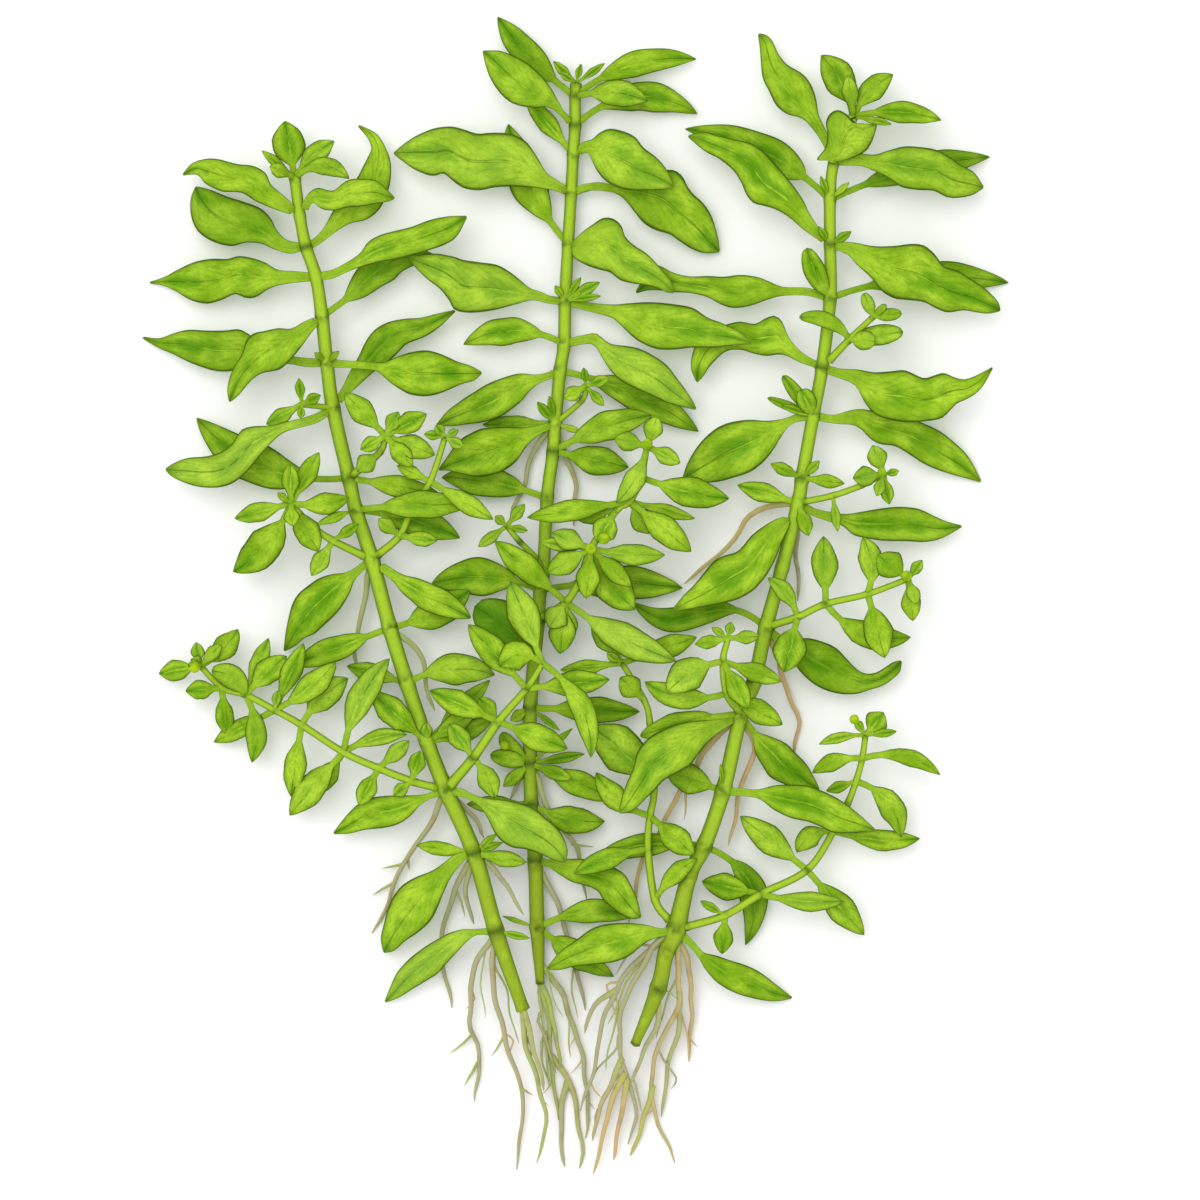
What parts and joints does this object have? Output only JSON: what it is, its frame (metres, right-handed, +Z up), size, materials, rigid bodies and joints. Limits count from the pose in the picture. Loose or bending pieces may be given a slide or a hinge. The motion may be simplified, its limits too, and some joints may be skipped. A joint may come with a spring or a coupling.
{
  "type": "marsh seedbox plant clump",
  "caption": "Rooted clump of marsh seedbox, a leafy green aquarium stem plant, lying flat with its stems fanned out.",
  "frame": {"origin": "middle of the clump's footprint, on the surface that it lies on", "axes": "+X to the plant's right seen from above, +Y from the roots to the shoot tips, +Z up"},
  "size_m": [0.1742, 0.2324, 0.0202],
  "materials": {
    "leaf_green": "soft satin leaf blade, mid yellow-green mottled darker along the midrib",
    "shoot_green": "soft satin young leaves and twigs, fresh yellow-green",
    "stem_green": "smooth juicy stem, light yellow-green, darker at the nodes and olive at the base",
    "root_tan": "fine dull roots, grey-beige to tan"
  },
  "bodies": {
    "root": {"branch_left": "shoot_green", "branch_middle": "shoot_green", "branch_right": "shoot_green", "branch_right_lower": "shoot_green", "leaf_left_13_l": "leaf_green", "leaf_left_13_r": "leaf_green", "leaf_left_14_l": "leaf_green", "leaf_left_15_l": "leaf_green", "leaf_left_1_l": "leaf_green", "leaf_left_1_r": "leaf_green", "leaf_left_2_l": "leaf_green", "leaf_left_2_r": "leaf_green", "leaf_left_3_l": "leaf_green", "leaf_left_3_r": "leaf_green", "leaf_left_4_l": "leaf_green", "leaf_left_5_l": "leaf_green", "leaf_left_5_r": "leaf_green", "leaf_left_6_l": "leaf_green", "leaf_left_6_r": "leaf_green", "leaf_left_9_l": "leaf_green", "leaf_left_9_r": "leaf_green", "leaf_middle_18_r": "leaf_green", "leaf_middle_2_l": "leaf_green", "leaf_middle_3_r": "leaf_green", "leaf_middle_4_l": "leaf_green", "leaf_middle_4_r": "leaf_green", "leaf_middle_5_r": "leaf_green", "leaf_middle_6_l": "leaf_green", "leaf_middle_6_r": "leaf_green", "leaf_middle_7_r": "leaf_green", "leaf_middle_8_l": "leaf_green", "leaf_middle_9_l": "leaf_green", "leaf_right_10_r": "leaf_green", "leaf_right_12_l": "leaf_green", "leaf_right_13_r": "leaf_green", "leaf_right_16_l": "leaf_green", "leaf_right_16_r": "leaf_green", "leaf_right_1_front": "leaf_green", "leaf_right_1_l": "leaf_green", "leaf_right_1_r": "leaf_green", "leaf_right_3_l": "leaf_green", "leaf_right_3_r": "leaf_green", "leaf_right_4_l": "leaf_green", "leaf_right_5_l": "leaf_green", "leaf_right_5_r": "leaf_green", "leaf_right_6_l": "leaf_green", "leaf_right_6_r": "leaf_green", "leaf_right_8_l": "leaf_green", "leaf_right_8_r": "leaf_green", "shoot_left_13": "shoot_green", "shoot_left_7": "shoot_green", "shoot_left_9_l": "shoot_green", "shoot_left_9_r": "shoot_green", "shoot_right_12": "shoot_green", "shoot_right_5": "shoot_green", "shoot_right_8": "shoot_green", "shoot_slender": "shoot_green", "stem_left": "stem_green", "stem_middle": "stem_green", "stem_right": "stem_green"}
  },
  "joints": []
}
